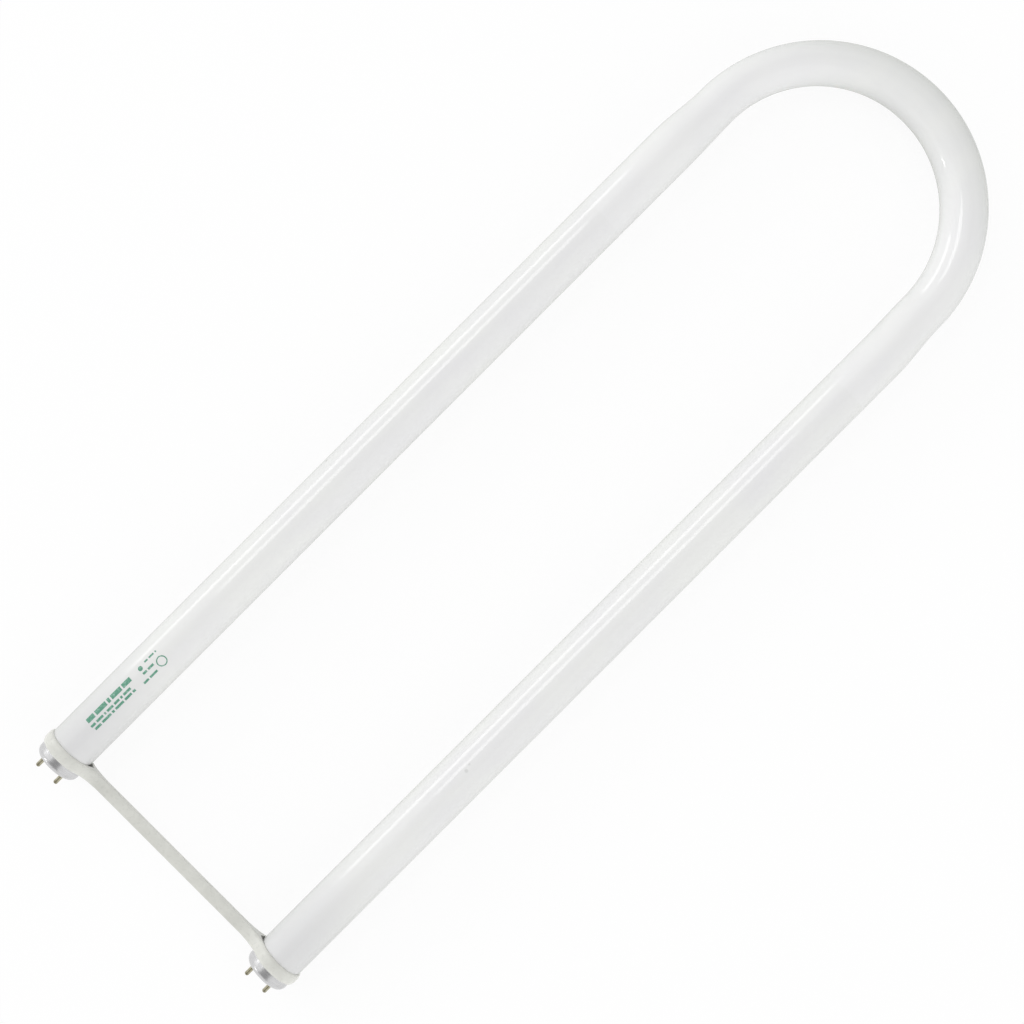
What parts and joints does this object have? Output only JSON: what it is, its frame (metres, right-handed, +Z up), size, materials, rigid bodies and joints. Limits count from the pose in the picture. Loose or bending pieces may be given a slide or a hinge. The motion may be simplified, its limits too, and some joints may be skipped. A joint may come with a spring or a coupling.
{
  "type": "u-bend fluorescent tube",
  "caption": "U-bent fluorescent tube of white-coated glass with aluminium pin bases on its legs and a moulded brace that holds the legs apart.",
  "frame": {"origin": "bottom centre of the lamp's box as it lies flat, under the middle between the legs", "axes": "+Y along the legs towards the bend (the pins point to -Y), +X across the legs, +Z up"},
  "size_m": [0.1808, 0.5757, 0.0285],
  "materials": {
    "coated_glass": "gloss",
    "brace_plastic": "satin",
    "cap_aluminium": "polished",
    "insulator_moulding": "satin",
    "pin_brass": "satin",
    "lead_wire": "satin"
  },
  "bodies": {
    "root": {"glass_tube": "coated_glass", "spacer_brace": "brace_plastic", "left_end_cap": "cap_aluminium", "left_insulator": "insulator_moulding", "left_outer_pin": "pin_brass", "left_outer_lead": "lead_wire", "left_inner_pin": "pin_brass", "left_inner_lead": "lead_wire", "right_end_cap": "cap_aluminium", "right_insulator": "insulator_moulding", "right_outer_pin": "pin_brass", "right_outer_lead": "lead_wire", "right_inner_pin": "pin_brass", "right_inner_lead": "lead_wire"}
  },
  "joints": []
}
